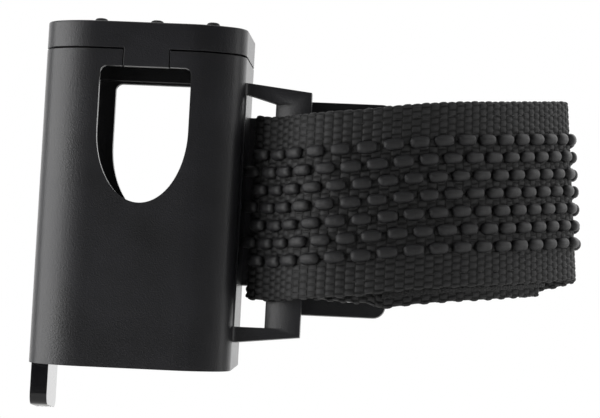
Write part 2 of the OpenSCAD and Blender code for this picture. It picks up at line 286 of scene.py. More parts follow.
def prism(name, profile, low, high, axis="z"):
    """A closed prism: a profile run from low to high along an axis, all in mm."""
    n = len(profile)
    order = {"z": (0, 1, 2), "y": (0, 2, 1), "x": (2, 0, 1)}[axis]
    flat = [np.column_stack([profile, np.full(n, level)])[:, order] for level in (low, high)]
    faces = [list(range(n)), [n + i for i in range(n)][::-1]]
    faces += [[i, (i + 1) % n, n + (i + 1) % n, n + i] for i in range(n)]
    piece = make_piece(name, in_frame(np.vstack(flat)), faces, smooth=False)
    shape = bmesh.new()
    shape.from_mesh(piece.data)
    bmesh.ops.recalc_face_normals(shape, faces=shape.faces)
    shape.to_mesh(piece.data)
    shape.free()
    return piece


def carve(piece, tool, operation="DIFFERENCE"):
    """Joins, cuts or intersects a piece with a tool, which is used up."""
    cut = piece.modifiers.new("cut", "BOOLEAN")
    cut.operation, cut.object, cut.solver = operation, tool, "EXACT"
    bake(piece)
    bpy.data.objects.remove(tool)
    return piece


def box_profile(x0, x1, y0, y1):
    return np.array([[x0, y0], [x1, y0], [x1, y1], [x0, y1]])


def break_edges(piece, width_mm, segments=3, sharper_than=40):
    """Bevels the sharp edges and shades the rest smooth."""
    bevel = piece.modifiers.new("bevel", "BEVEL")
    bevel.width, bevel.segments = width_mm * MM, segments
    bevel.limit_method, bevel.angle_limit = "ANGLE", math.radians(sharper_than)
    bevel.use_clamp_overlap, bevel.harden_normals = True, True
    piece.data.polygons.foreach_set("use_smooth", [True] * len(piece.data.polygons))
    bake(piece)
    return piece


# %% Sleeve tube, windows, mouth and latch slot
def window_profile():
    half, r = WINDOW_W / 2, 2.0
    turn = np.linspace(0, math.pi, 49)
    drop = (WINDOW_MID - WINDOW_LOW) * np.sin(turn)
    arch = np.stack([-half * np.cos(turn), WINDOW_MID - drop], 1)
    return np.vstack([arch, arc((half - r, WINDOW_TOP - r), r, 0, math.pi / 2, 8),
                      arc((-half + r, WINDOW_TOP - r), r, math.pi / 2, math.pi, 8)])


sleeve = prism("moulded_sleeve", outline(), -1.0, SHELL_H)
carve(sleeve, prism("bore", outline(WALL), -3.0, SHELL_H + 2))

# %% [markdown]
# ## The lugs
# Two lugs stand out from the sleeve's right side, one behind the other. The near one holds a slot
# for the webbing and a ramped outer bar for it to lie on. The far one is longer, with rounded
# corners. A fillet leads from the shoulder into the near lug, which a mould maker adds so that
# the plastic flows and the root doesn't crack. The near lug is the overlap of two prisms: its
# plan, run upwards, and its face, run front to back. The far one is a flat plate with a neck.

# %% Lugs, joined on and slotted
LUG_T = 3.0
NEAR_REACH, FAR_REACH = 18.75, 41.25
NEAR_X, FAR_X = SEAT_X + NEAR_REACH, SEAT_X + FAR_REACH
NEAR_MID, NEAR_H, NEAR_TAPER = SEAT_Z, 73.0, 2.0
FAR_MID, FAR_H = SEAT_Z + 3.8, 61.0
NEAR_Y, FAR_Y = SHOULDER_Y, BODY_D - SHOULDER_Y - LUG_T
SLOT_X, SLOT_W, SLOT_RISE = SEAT_X + 0.4, 8.15, 2.3   # its top slopes up by SLOT_RISE
BAR_X = SLOT_X + SLOT_W
SLOT_Z = (NEAR_MID - NEAR_H / 2 + 4.2, NEAR_MID + NEAR_H / 2 - 5.4)
FAR_SLOT_W = 6.5
FAR_SLOT_X = FAR_X - 4.4 - FAR_SLOT_W
FAR_SLOT_Z = (FAR_MID - 26.4, FAR_MID + 27)
NECK_REACH, NECK_Z = 12.4, (27, 75)
RAMP_W = 5.2


def near_lug():
    fillet = 1.6
    root = SEAT_X - 1.2
    plan = np.vstack([[[root, NEAR_Y + LUG_T], [root, NEAR_Y - 1.2]],
                      arc((SEAT_X + fillet - 0.25, NEAR_Y - fillet), fillet, math.pi * 0.86,
                          math.pi / 2, 8),
                      [[NEAR_X, NEAR_Y], [NEAR_X, NEAR_Y + LUG_T]]])
    face = np.array([[root - 1, NEAR_MID - NEAR_H / 2], [SEAT_X + 1, NEAR_MID - NEAR_H / 2],
                     [NEAR_X, NEAR_MID - NEAR_H / 2 + NEAR_TAPER],
                     [NEAR_X, NEAR_MID + NEAR_H / 2 - NEAR_TAPER],
                     [SEAT_X + 1, NEAR_MID + NEAR_H / 2], [root - 1, NEAR_MID + NEAR_H / 2]])
    lug = prism("near_lug", plan, 0, SHELL_H)
    return carve(lug, prism("near_face", face, -1, BODY_D + 1, "y"), "INTERSECT")


def far_lug():
    r = 3.5
    low, high = FAR_MID - FAR_H / 2, FAR_MID + FAR_H / 2
    neck_x = SEAT_X + NECK_REACH
    face = np.vstack([[[neck_x + 1, high], [neck_x, NECK_Z[1]], [SEAT_X - 1.2, NECK_Z[1]],
                       [SEAT_X - 1.2, NECK_Z[0]], [neck_x, NECK_Z[0]], [neck_x + 1, low]],
                      arc((FAR_X - r, low + r), r, -math.pi / 2, 0, 10),
                      arc((FAR_X - r, high - r), r, 0, math.pi / 2, 10)])
    return prism("far_lug", face, FAR_Y, FAR_Y + LUG_T, "y")


carve(sleeve, near_lug(), "UNION")
carve(sleeve, far_lug(), "UNION")
ramp = np.array([[BAR_X - 1, NEAR_Y - 1], [BAR_X + RAMP_W, NEAR_Y - 1], [BAR_X + RAMP_W, NEAR_Y],
                 [BAR_X, NEAR_Y + LUG_T], [BAR_X - 1, NEAR_Y + LUG_T]])
slot = np.array([[SLOT_X, SLOT_Z[0]], [BAR_X, SLOT_Z[0]], [BAR_X, SLOT_Z[1]],
                 [SLOT_X, SLOT_Z[1] + SLOT_RISE]])
carve(sleeve, prism("near_slot", slot, NEAR_Y - 2, NEAR_Y + LUG_T + 1, "y"))
carve(sleeve, prism("near_ramp", ramp, *SLOT_Z))
carve(sleeve, prism("far_slot", box_profile(FAR_SLOT_X, FAR_SLOT_X + FAR_SLOT_W, *FAR_SLOT_Z),
                    FAR_Y - 1, FAR_Y + LUG_T + 1, "y"))
carve(sleeve, prism("windows", window_profile(), -2, BODY_D + 2, "y"))
mouth = np.array([[-12, -20], [BODY_D + 12, -20],
                  [BODY_D + 12, MOUTH_SLANT * (BODY_D + 12) / BODY_D],
                  [-12, -MOUTH_SLANT * 12 / BODY_D]])
carve(sleeve, prism("mouth", mouth, -BODY_W, 2 * BODY_W, "x"))
LATCH_W, LATCH_ROOT, LATCH_GAP = 18.0, 29.0, 0.5
latch_slot = box_profile(LEFT_X - 1, LEFT_X + WALL + 1, (BODY_D - LATCH_W) / 2 - LATCH_GAP,
                         (BODY_D + LATCH_W) / 2 + LATCH_GAP)
carve(sleeve, prism("latch_slot", latch_slot, -5, LATCH_ROOT + 2.5))
notch = box_profile(-TONGUE_W / 2 - 0.3, TONGUE_W / 2 + 0.3, -1, WALL + 0.5)
carve(sleeve, prism("tongue_notch", notch, WINDOW_TOP - 1, SHELL_H + 1))
break_edges(sleeve, 0.35)
sleeve.data.materials.clear()
sleeve.data.materials.append(sleeve_plastic)
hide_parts("sleeve_shell")
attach(sleeve, "root")
print("sleeve triangles:", triangles(sleeve))

# %% [markdown]
# ## The cap
# The cap closes the top and carries a short tongue that fills the gap over the front window. Its
# top edge is a quarter round. The outline, pulled in a little more at each level, gives that edge
# exactly, so the cap is lofted from stacked outlines, and its inside is a second loft.


# %% Cap with its rounded edge, spigot and tongue
def loft(name, levels):
    """A closed skin through stacked outlines; levels are (inset, height) in mm."""
    rings = [np.column_stack([outline(inset), np.full(len(outline(inset)), z)])
             for inset, z in levels]
    n, m = len(rings[0]), len(rings)
    faces = [[k * n + i, k * n + (i + 1) % n, (k + 1) * n + (i + 1) % n, (k + 1) * n + i]
             for k in range(m - 1) for i in range(n)]
    faces += [list(range(n))[::-1], [(m - 1) * n + i for i in range(n)]]
    return make_piece(name, in_frame(np.vstack(rings)), faces, smooth=True)


EDGE_R, SPIGOT_GAP, SPIGOT_DEEP = 0.5, 0.25, 4
rim = [(EDGE_R * (1 - math.cos(t)), TOTAL_H - EDGE_R * (1 - math.sin(t)))
       for t in np.linspace(0, math.pi / 2, 7)]
cap = loft("push_fit_cap", [(0.0, CAP_Z)] + rim)
spigot = [(WALL + SPIGOT_GAP, SHELL_H - SPIGOT_DEEP), (WALL + SPIGOT_GAP, CAP_Z + 1)]
carve(cap, loft("spigot", spigot), "UNION")
tongue = box_profile(-TONGUE_W / 2, TONGUE_W / 2, 0.0, WALL + 0.5)
carve(cap, prism("tongue", tongue, WINDOW_TOP, CAP_Z + 1), "UNION")
carve(cap, loft("hollow", [(2 * WALL, WINDOW_TOP - 1), (2 * WALL, TOTAL_H - WALL)]))
break_edges(cap, 0.2, segments=2, sharper_than=50)
cap.data.materials.clear()
cap.data.materials.append(sleeve_plastic)
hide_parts("end_cap")
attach(cap, "cap")
print("cap triangles:", triangles(cap))

# %% [markdown]
# ## The feet, with Geometry Nodes
# Six round rubber feet sit on the cap. They are one shape at six places, so a small tree makes
# them: it takes points, puts a turned foot on each, and makes the copies real. The foot is a
# profile spun about an axis, which closes at its pole.


# %% Foot mesh and the tree that repeats a shape
def turned(name, profile, steps=24):
    """A profile of (radius, height) points spun about Z; a radius of 0 is a pole. Millimetres."""
    shape = bmesh.new()
    rings = []
    for radius, height in profile:
        if radius == 0:
            rings.append([shape.verts.new((0, 0, height * MM))])
            continue
        rings.append([shape.verts.new((radius * MM * math.cos(a), radius * MM * math.sin(a),
                                       height * MM))
                      for a in np.linspace(0, 2 * math.pi, steps, endpoint=False)])
    for low, high in zip(rings, rings[1:]):
        for i in range(steps):
            j = (i + 1) % steps
            corners = [low[i % len(low)], low[j % len(low)], high[j % len(high)],
                       high[i % len(high)]]
            shape.faces.new(list(dict.fromkeys(corners)))
    mesh = bpy.data.meshes.new(name)
    bmesh.ops.recalc_face_normals(shape, faces=shape.faces)
    shape.to_mesh(mesh)
    shape.free()
    mesh.polygons.foreach_set("use_smooth", [True] * len(mesh.polygons))
    piece = bpy.data.objects.new(name, mesh)
    bpy.context.scene.collection.objects.link(piece)
    return piece


def new_tree(name, inputs):
    """A Geometry Nodes tree with named inputs; inputs maps a name to its socket type."""
    tree = bpy.data.node_groups.new(name, "GeometryNodeTree")
    tree.interface.new_socket("Geometry", in_out="INPUT", socket_type="NodeSocketGeometry")
    tree.interface.new_socket("Geometry", in_out="OUTPUT", socket_type="NodeSocketGeometry")
    for label, socket_type in inputs.items():
        tree.interface.new_socket(label, in_out="INPUT", socket_type=socket_type)
    return tree


def run_tree(piece, tree, values):
    """Runs a tree on a piece with its named inputs set, and keeps the result as a plain mesh."""
    nodes = piece.modifiers.new("nodes", "NODES")
    nodes.node_group = tree
    for item in tree.interface.items_tree:
        if item.in_out == "INPUT" and item.name in values:
            nodes[item.identifier] = values[item.name]
    return bake(piece)


def repeat_tree():
    """Puts a shape on each point of a mesh."""
    tree = new_tree("repeat_on_points", {"Shape": "NodeSocketObject",
                                         "Material": "NodeSocketMaterial"})
    given = add(tree, "NodeGroupInput")
    shape = add(tree, "GeometryNodeObjectInfo", {"Object": given.outputs["Shape"]})
    points = add(tree, "GeometryNodeMeshToPoints", {"Mesh": given.outputs["Geometry"]})
    copies = add(tree, "GeometryNodeInstanceOnPoints", {"Points": points.outputs[0],
                                                        "Instance": shape.outputs["Geometry"]})
    real = add(tree, "GeometryNodeRealizeInstances", {0: copies.outputs[0]})
    painted = add(tree, "GeometryNodeSetMaterial", {"Geometry": real.outputs[0],
                                                    "Material": given.outputs["Material"]})
    add(tree, "NodeGroupOutput", {0: painted.outputs[0]})
    return tree


FOOT_H, FOOT_R = 0.9, 1.9
foot = turned("foot", [(0, 0), (FOOT_R, 0), (FOOT_R - 0.05, FOOT_H * 0.4),
                       (FOOT_R - 0.3, FOOT_H * 0.8), (FOOT_R - 0.7, FOOT_H), (0, FOOT_H)])
places = [(x, y, TOTAL_H) for x in (-13.6, 2.2, 18.0) for y in (3.2, BODY_D - 3.2)]
feet = make_piece("rubber_feet", in_frame(places), [])
run_tree(feet, repeat_tree(), {"Shape": foot, "Material": foot_rubber})
bpy.data.objects.remove(foot)
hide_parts("cap_feet")
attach(feet, "cap")
print("feet triangles:", triangles(feet))

# %% [markdown]
# ## The latch
# A springy finger in the sleeve's left wall ends in a thick tongue below the mouth. The finger
# and the tongue share the outline of their rounded lower corners, so both are prisms across the
# wall, joined and then bevelled.


# %% Latch finger and tongue
def latch_profile(top):
    r, half, drop = 3.0, LATCH_W / 2, 10.4
    middle = BODY_D / 2
    low = np.vstack([arc((middle - half + r, -drop + r), r, math.pi, 1.5 * math.pi, 10),
                     arc((middle + half - r, -drop + r), r, 1.5 * math.pi, 2 * math.pi, 10)])
    if top > 10:
        return np.vstack([low, [[middle + half, top], [middle + half - 2, top + 2],
                                [middle - half + 2, top + 2], [middle - half, top]]])
    return np.vstack([low, [[middle + half, top], [middle - half, top]]])


LATCH_X = LEFT_X + 0.5
latch = prism("retaining_finger", latch_profile(LATCH_ROOT), LATCH_X, LATCH_X + WALL - 0.3, "x")
carve(latch, prism("latch_tongue", latch_profile(2.0), LATCH_X, LATCH_X + 4.8, "x"), "UNION")
break_edges(latch, 0.4)
latch.data.materials.clear()
latch.data.materials.append(latch_plastic)
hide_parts("retaining_latch")
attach(latch, "latch")
print("latch triangles:", triangles(latch))

# %% [markdown]
# ## The strap's path
# The strap runs from the near slot out to the right, round a wide loop and back to the far slot,
# where its end is folded over and sewn. Its route is a short list of given points, with a smooth
# curve through them. Every layer of the strap is placed from this one curve: a layer is a depth
# inwards from its outer face, so the layers can't cross.

# %% Route, smooth curve and frames along it
STRAP_ROUTE = np.array([
    [42.5, 17, 48.4], [37.5, 18.4, 48.4], [33, 18.2, 48.4], [30.2, 16.2, 48.3],
    [30.4, 13.4, 48], [33, 11, 47.6], [36.2, 8.6, 47.3], [39, 5.2, 47.1], [42.6, 0.8, 47.1],
    [47.6, -3, 47.3], [54, -5.4, 47.8], [62, -6.2, 48.5], [70, -6, 49.8], [80, -3.4, 51.4],
    [91, 3, 53.2],
    [100.4, 11.8, 54.8], [107.8, 21.4, 56.5], [113.1, 29.8, 57.9], [115.4, 34, 58.6],
    [118.9, 41, 59.7], [120.2, 46.6, 60.1], [118.9, 54, 59.9], [112.6, 64, 58.9],
    [102, 72.5, 57.5], [90, 76.5, 56], [79, 73.4, 54.4], [71.2, 62.8, 52.6],
    [65.8, 50.6, 51.2], [62.4, 40, 50.3], [60.8, 32, 50], [60.4, 26.6, 50], [62.4, 23.8, 50],
    [67, 23.2, 50], [71, 25, 50], [71.4, 29, 50], [69, 34, 50], [68, 40, 50.3],
    [68.4, 47, 50.8], [70.6, 54, 51.4]])
TAIL_START = np.array([[42.9, 14.1, 49], [47.5, 12.4, 48.8], [52, 8.4, 48.2], [56.4, 4, 47.6],
                       [61, 0, 47.1], [65.4, -2.2, 46.9]])
WEB_T, GAP, TAPE_T, PEEL_GAP, TAIL_SAG = 1.8, 0.05, 1.0, 0.35, 4.0
STRAP_W, TAPE_W, ROW_PITCH, ROWS = 52.4, 47.0, 5.0, 7
LEAN_MAX, LEAN_FROM, LEAN_TO = 0.088, 70.0, 120.0    # the loop is slightly conical


def lean(x):
    """How far inwards the cloth leans for each millimetre of height, which grows with x."""
    return LEAN_MAX * np.clip((x - LEAN_FROM) / (LEAN_TO - LEAN_FROM), 0, 1)


def directions(route):
    """Unit directions along a route in plan, and the inward normals on its left."""
    padded = np.vstack([route[:1], route, route[-1:]])[:, :2]
    along = padded[2:] - padded[:-2]
    along /= np.linalg.norm(along, axis=1)[:, None]
    return along, np.stack([-along[:, 1], along[:, 0]], 1)


def shifted(route, depth, height=0.0):
    """A route moved inwards by depth, and up the leaning cloth by height."""
    inward = directions(route)[1] * (depth + lean(route[:, :1]) * height)
    return route + np.column_stack([inward, np.full(len(route), height)])


def curve(route, first, last, spacing):
    """Points about spacing mm apart on the smooth curve through a route's points."""
    ends = np.vstack([2 * route[0] - route[1], route, 2 * route[-1] - route[-2]])
    dense = []
    for i in range(first, last):
        p0, p1, p2, p3 = ends[i:i + 4]
        t = np.linspace(0, 1, 40, endpoint=False)[:, None]
        dense.append(0.5 * (2 * p1 + (p2 - p0) * t + (2 * p0 - 5 * p1 + 4 * p2 - p3) * t ** 2
                            + (3 * p1 - p0 - 3 * p2 + p3) * t ** 3))
    dense = np.vstack(dense + [route[last:last + 1]])
    run = np.concatenate([[0], np.cumsum(np.linalg.norm(np.diff(dense[:, :2], axis=0), axis=1))])
    stops = np.linspace(0, run[-1], max(2, int(round(run[-1] / spacing)) + 1))
    return np.stack([np.interp(stops, run, dense[:, k]) for k in range(3)], 1), stops


LAYER_4 = WEB_T + GAP + TAPE_T + PEEL_GAP
tail_route = np.vstack([TAIL_START, shifted(STRAP_ROUTE, LAYER_4)[12:19] - [0, 0, TAIL_SAG]])
TAIL_LAST = len(tail_route) - 1
strap_length = curve(STRAP_ROUTE, 0, len(STRAP_ROUTE) - 1, 1.0)[1][-1]
tail_length = curve(tail_route, 0, TAIL_LAST, 1.0)[1][-1]
print(f"strap {strap_length:.0f} mm long, tail {tail_length:.0f} mm long")

# %% [markdown]
# ## Webbing and tapes
# Gripper webbing is a thick knit: short oval floats of polyester stand in columns, each column
# half a step up from the next, like bricks on end. A bump map alone would leave the strap's edge
# straight, so the floats are in the mesh, where they scallop the edge, and the shader sharpens
# them and adds the filaments.
# A ribbon's cross-section is a ring of points: outer face, rounded edge, inner face, rounded edge.

# %% Ribbon builder and the knit's relief
COLUMN, ROW = 2.75, 2.0                              # the knit's repeat along and across, mm
FLOAT_L, FLOAT_W = 2.7, 1.5                          # one float


def knit(along, across):
    """Height of the knit, from 0 in a gap to 1 on a float's crown; columns are staggered."""
    height = 0.0
    for odd in (0, 1):
        x = (np.mod(along / COLUMN + 0.5 - odd, 2) - 1) * COLUMN
        y = (np.mod(across / ROW + 0.5 - 0.5 * odd, 1) - 0.5) * ROW
        crown = 1 - np.abs(x / FLOAT_L * 2) ** 2.6 - np.abs(y / FLOAT_W * 2) ** 2.2
        height = np.maximum(height, np.clip(crown, 0, 1) ** 0.5)
    return height


def ribs(along, across):
    """Height of a tape's fine crosswise ribs."""
    return 0.5 + 0.5 * np.cos(along * 2 * math.pi / 1.1) + 0 * across


def ribbon(name, route_stops, near, far, width, relief, depth, across_step, material):
    """A closed ribbon between two depths below a route; relief sinks its faces by up to depth."""
    route, stops = route_stops
    inward = directions(route)[1]
    half, edge = width / 2, (far - near) / 2
    face = np.linspace(-half + edge, half - edge, int(round((width - 2 * edge) / across_step)) + 1)
    bulge = np.linspace(0, math.pi, 7)[1:-1]
    heights = np.concatenate([face, half - edge + edge * np.sin(bulge), face[::-1],
                              -half + edge - edge * np.sin(bulge)])
    depths = np.concatenate([np.full(len(face), near), near + edge - edge * np.cos(bulge),
                             np.full(len(face), far), near + edge + edge * np.cos(bulge)])
    outwards = np.concatenate([np.full(len(face), 1.0), np.cos(bulge), np.full(len(face), -1.0),
                               -np.cos(bulge)])
    n, m = len(heights), len(route)
    sunk = depth * (1 - relief(stops[:, None], heights[None, :] + half))
    d = depths[None, :] + sunk * outwards[None, :] + lean(route[:, :1]) * heights[None, :]
    h = heights[None, :] - np.sign(heights)[None, :] * (np.abs(heights) > half - edge) * sunk * 0.9
    points = np.empty((m, n, 3))
    points[:, :, 0] = route[:, None, 0] + inward[:, None, 0] * d
    points[:, :, 1] = route[:, None, 1] + inward[:, None, 1] * d
    points[:, :, 2] = route[:, None, 2] + h
    ring, step = np.meshgrid(np.arange(m - 1), np.arange(n), indexing="ij")
    following = (step + 1) % n
    faces = np.stack([ring * n + step, ring * n + following, (ring + 1) * n + following,
                      (ring + 1) * n + step], -1).reshape(-1, 4)
    ends = [list(range(n))[::-1], [(m - 1) * n + i for i in range(n)]]
    piece = make_piece(name, in_frame(points.reshape(-1, 3)), faces.tolist() + ends)
    shape = bmesh.new()
    shape.from_mesh(piece.data)
    bmesh.ops.recalc_face_normals(shape, faces=shape.faces)
    shape.to_mesh(piece.data)
    shape.free()
    lay_out_cloth(piece, stops, heights + half, n)
    piece.data.materials.append(material)
    return piece


def lay_out_cloth(piece, stops, heights, n):
    """A UV map in metres along and across the cloth, so that a weave follows its bends."""
    mesh = piece.data
    vertex = np.empty(len(mesh.loops), int)
    mesh.loops.foreach_get("vertex_index", vertex)
    uv = np.stack([stops[vertex // n], heights[vertex % n]], 1) * MM
    mesh.uv_layers.new(name="cloth").data.foreach_set("uv", uv.astype(np.float32).ravel())


# %% [markdown]
# ### Textile materials
# Black polyester yarn is dull but not flat: each float catches a little light on its crown, and
# its filaments give a faint sheen at a glancing angle. The weave pattern reads the cloth's own UV
# map, which is in metres, so its scale is the real one and it turns with every bend.


# %% Textile materials
def textile(name, dark, pale, cell_mm, roughness, strength, sheen, stagger=0.5, filament_mm=0.35,
            gap_mm=0.16):
    """A yarn surface: columns of floats with darker gaps, and fine filaments along them.

    cell_mm is a float's repeat along and across the cloth."""
    material, tree, shader = new_surface(name)
    cloth = add(tree, "ShaderNodeUVMap", uv_map="cloth").outputs[0]
    scaled = add(tree, "ShaderNodeMapping", {"Vector": cloth, "Scale": (1000, 1000, 1000)})
    split = add(tree, "ShaderNodeSeparateXYZ", {0: scaled.outputs[0]})
    upended = add(tree, "ShaderNodeCombineXYZ", {"X": split.outputs["Y"], "Y": split.outputs["X"]})
    yarn = add(tree, "ShaderNodeTexBrick",
               {"Vector": upended.outputs[0], "Color1": (0.5, 0.5, 0.5, 1),
                "Color2": (1, 1, 1, 1), "Mortar": (0, 0, 0, 1), "Scale": 1.0,
                "Mortar Size": gap_mm, "Mortar Smooth": 0.9,
                "Brick Width": cell_mm[1], "Row Height": cell_mm[0]}, offset=stagger)
    place = add(tree, "ShaderNodeTexCoord").outputs["Object"]
    uneven = add(tree, "ShaderNodeTexNoise", {"Vector": place, "Scale": 260.0, "Detail": 3.0})
    fibres = add(tree, "ShaderNodeTexWave", {"Vector": scaled.outputs[0],
                                             "Scale": 0.31 / filament_mm, "Distortion": 2.5,
                                             "Detail": 1.0},
                 wave_type="BANDS", bands_direction="Y")
    blend = add(tree, "ShaderNodeMix", {"Factor": 0.25, "A": yarn.outputs["Color"],
                                        "B": uneven.outputs["Color"]}, data_type="RGBA")
    tint = add(tree, "ShaderNodeValToRGB", {0: blend.outputs["Result"]})
    tint.color_ramp.elements[0].color = linear(dark)
    tint.color_ramp.elements[0].position = 0.15
    tint.color_ramp.elements[1].color = linear(pale)
    tint.color_ramp.elements[1].position = 0.75
    crown = add(tree, "ShaderNodeMath", {0: 1.0, 1: yarn.outputs["Fac"]}, operation="SUBTRACT")
    strands = add(tree, "ShaderNodeMath", {0: fibres.outputs["Fac"], 1: 0.3, 2: crown.outputs[0]},
                  operation="MULTIPLY_ADD")
    bump = add(tree, "ShaderNodeBump", {"Height": strands.outputs[0], "Strength": strength,
                                        "Distance": 0.15 * MM})
    shader.inputs["Roughness"].default_value = roughness
    shader.inputs["IOR"].default_value = 1.45
    shader.inputs["Sheen Weight"].default_value = sheen
    shader.inputs["Sheen Roughness"].default_value = 0.45
    tree.links.new(tint.outputs[0], shader.inputs["Base Color"])
    tree.links.new(bump.outputs[0], shader.inputs["Normal"])
    return material


# Knitted polyester webbing: dull black floats with near-black gaps.
webbing = textile("knitted_black_polyester", "#010101", "#222223", (COLUMN, ROW), 0.62, 1.0, 0.0,
                  gap_mm=0.42)
# Brushed nylon loop tape: soft, with fine ribs across it.
loop_nylon = textile("brushed_nylon_loop", "#0A0A0A", "#222223", (1.1, 0.7), 0.85, 0.4, 0.12,
                     gap_mm=0.15)
# Hook tape's base weave: hard and slightly shiny.
hook_nylon = textile("woven_nylon_hook_base", "#0B0B0B", "#202021", (0.9, 0.9), 0.55, 0.5, 0.03)
# Bonded sewing thread, twisted and waxed.
thread = textile("bonded_polyester_thread", "#070707", "#1A1A1A", (0.5, 0.4), 0.5, 0.3, 0.02)
# Woven tape with a heat-sealed glaze.
binding_tape = textile("heat_sealed_binding", "#070707", "#18181A", (1.0, 0.6), 0.5, 0.4, 0.02)

# %% Strap, tail, tapes and binding
SPACING = COLUMN / 4
strap = ribbon("gripper_webbing", curve(STRAP_ROUTE, 0, len(STRAP_ROUTE) - 1, SPACING), 0, WEB_T,
               STRAP_W, knit, 0.42, 0.5, webbing)
inner = WEB_T + GAP
loop = ribbon("sewn_loop_tape", curve(STRAP_ROUTE, 11, 20, 0.275), inner, inner + TAPE_T, TAPE_W,
              ribs, 0.18, 1.5, loop_nylon)
tail_near = TAPE_T + GAP
tail_run = curve(tail_route, 0, TAIL_LAST, SPACING)
tail = ribbon("webbing_tail", [part[:-3] for part in tail_run], tail_near, tail_near + WEB_T,
              STRAP_W, knit, 0.42, 0.5, webbing)
hook = ribbon("sewn_hook_tape", curve(tail_route, 6, TAIL_LAST, 0.275), 0.45, TAPE_T, TAPE_W,
              ribs, 0.10, 1.5, hook_nylon)
binding = ribbon("end_binding", [part[-14:-3] for part in tail_run], tail_near + WEB_T + GAP,
                 tail_near + WEB_T + GAP + 0.8, STRAP_W, ribs, 0.12, 1.5, binding_tape)
for piece, node, slot, body in (
        (strap, "strap_webbing", "webbing", "root"), (loop, "loop_tape", "loop_tape", "root"),
        (tail, "strap_tail", "webbing", "tail"), (hook, "tail_hook_tape", "hook_tape", "tail"),
        (binding, "tail_end_binding", "binding", "tail")):
    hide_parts(node)
    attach(piece, body)
    print(piece.name, "triangles:", triangles(piece))

# %% [markdown]
# ## Grip beads, with Geometry Nodes
# Rubber yarn floats over the knit in short fat lengths, in seven rows, each row half a step along
# from the next, and dives under in between. One bead is a rounded, slightly flattened capsule
# sunk halfway into the knit. The tree walks along each row's path, drops a bead every few
# millimetres, and turns it to the strap's direction and outward normal, with a little unevenness.

# %% Bead mesh and the tree that strings it along a path
BEAD_L, BEAD_W, BEAD_H, BEAD_PITCH = 5.8, 3.4, 3.0, 7.2


def bead_shape():
    """A capsule with squared ends, along X, from a sphere pushed outwards; with its own UV map."""
    shape = bmesh.new()
    bmesh.ops.create_uvsphere(shape, u_segments=14, v_segments=9, radius=1.0)
    bmesh.ops.rotate(shape, cent=(0, 0, 0), matrix=Matrix.Rotation(math.pi / 2, 3, "Y"),
                     verts=shape.verts)
    for corner in shape.verts:
        x, y, z = corner.co
        x = math.copysign(abs(x) ** 0.7, x)
        squared = (1 - abs(x) ** 3.2) ** 0.36 if abs(x) < 1 else 0
        around = math.hypot(y, z) or 1
        corner.co = Vector((x * BEAD_L / 2, y / around * squared * BEAD_W / 2,
                            z / around * squared * BEAD_H / 2)) * MM
    bmesh.ops.recalc_face_normals(shape, faces=shape.faces)
    layer = shape.loops.layers.uv.new("cloth")
    for face in shape.faces:
        for loop_corner in face.loops:
            p = loop_corner.vert.co
            loop_corner[layer].uv = (p.x, math.atan2(p.y, p.z) * BEAD_W / 2 * MM)
    mesh = bpy.data.meshes.new("bead")
    shape.to_mesh(mesh)
    shape.free()
    mesh.polygons.foreach_set("use_smooth", [True] * len(mesh.polygons))
    piece = bpy.data.objects.new("bead", mesh)
    bpy.context.scene.collection.objects.link(piece)
    return piece


def string_tree():
    """Strings a shape along paths at an even pitch; Side is 1 to face right of the path."""
    tree = new_tree("string_along_path", {
        "Shape": "NodeSocketObject", "Material": "NodeSocketMaterial", "Pitch": "NodeSocketFloat",
        "Side": "NodeSocketFloat", "Unevenness": "NodeSocketFloat", "Seed": "NodeSocketInt"})
    given = add(tree, "NodeGroupInput")
    shape = add(tree, "GeometryNodeObjectInfo", {"Object": given.outputs["Shape"]})
    path = add(tree, "GeometryNodeMeshToCurve", {"Mesh": given.outputs["Geometry"]})
    stops = add(tree, "GeometryNodeResampleCurve",
                {"Curve": path.outputs[0], "Length": given.outputs["Pitch"]}, mode="LENGTH")
    along = add(tree, "GeometryNodeInputTangent")
    right = add(tree, "ShaderNodeVectorMath", {0: along.outputs[0], 1: (0, 0, 1)},
                operation="CROSS_PRODUCT")
    out = add(tree, "ShaderNodeVectorMath", {0: right.outputs[0], "Scale": given.outputs["Side"]},
              operation="SCALE")
    lengthwise = add(tree, "FunctionNodeAlignRotationToVector", {"Vector": along.outputs[0]},
                     axis="X")
    facing = add(tree, "FunctionNodeAlignRotationToVector",
                 {"Rotation": lengthwise.outputs[0], "Vector": out.outputs[0]},
                 axis="Z", pivot_axis="X")
    small = add(tree, "ShaderNodeMath", {0: 1.0, 1: given.outputs["Unevenness"]},
                operation="SUBTRACT")
    large = add(tree, "ShaderNodeMath", {0: 1.0, 1: given.outputs["Unevenness"]}, operation="ADD")
    size = add(tree, "FunctionNodeRandomValue", {"Min": small.outputs[0], "Max": large.outputs[0],
                                                 "Seed": given.outputs["Seed"]},
               data_type="FLOAT_VECTOR")
    copies = add(tree, "GeometryNodeInstanceOnPoints",
                 {"Points": stops.outputs[0], "Instance": shape.outputs["Geometry"],
                  "Rotation": facing.outputs[0], "Scale": size.outputs[0]})
    real = add(tree, "GeometryNodeRealizeInstances", {0: copies.outputs[0]})
    painted = add(tree, "GeometryNodeSetMaterial", {"Geometry": real.outputs[0],
                                                    "Material": given.outputs["Material"]})
    add(tree, "NodeGroupOutput", {0: painted.outputs[0]})
    return tree


def paths(name, routes):
    """A mesh of open lines, one for each route."""
    points, lines = [], []
    for route in routes:
        first = len(points)
        points += list(in_frame(route))
        lines += [(i, i + 1) for i in range(first, first + len(route) - 1)]
    mesh = bpy.data.meshes.new(name)
    mesh.from_pydata([tuple(p) for p in points], lines, [])
    piece = bpy.data.objects.new(name, mesh)
    bpy.context.scene.collection.objects.link(piece)
    return piece


